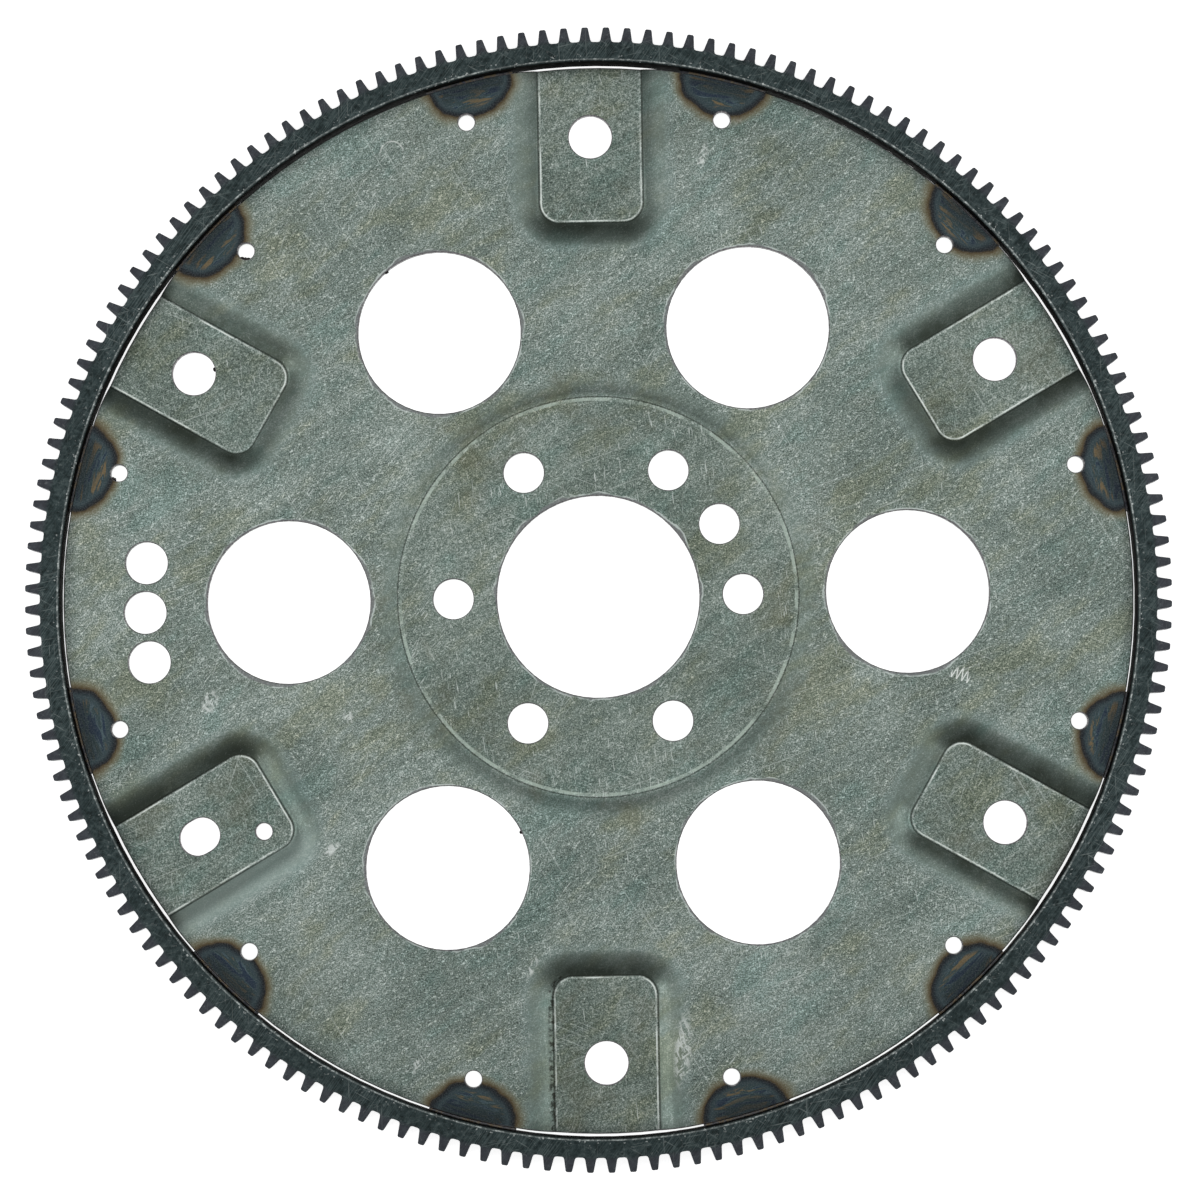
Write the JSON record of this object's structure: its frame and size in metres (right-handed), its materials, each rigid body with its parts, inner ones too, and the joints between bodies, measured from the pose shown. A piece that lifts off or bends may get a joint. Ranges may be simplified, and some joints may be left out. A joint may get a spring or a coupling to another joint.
{
  "type": "flexplate",
  "caption": "Stamped steel flexplate: a disc with stepped hub, recessed converter pads and lightening holes, welded inside a toothed starter ring gear.",
  "frame": {"origin": "on the axis, level with the undersides of the converter pads, on which the part lies", "axes": "+Z along the axis towards the crankshaft side, +X through a crankshaft bolt hole"},
  "size_m": [0.3592, 0.3592, 0.0103],
  "materials": {
    "disc_steel": "bare rolled sheet, fine grain, satin",
    "ring_steel": "dark oiled steel with fine scratches",
    "weld_steel": "rippled weld bead, darkened by heat"
  },
  "bodies": {
    "root": {"disc": "disc_steel", "ring_gear": "ring_steel", "weld_01": "weld_steel", "weld_02": "weld_steel", "weld_03": "weld_steel", "weld_04": "weld_steel", "weld_05": "weld_steel", "weld_06": "weld_steel", "weld_07": "weld_steel", "weld_08": "weld_steel", "weld_09": "weld_steel", "weld_10": "weld_steel", "weld_11": "weld_steel", "weld_12": "weld_steel"}
  },
  "joints": []
}
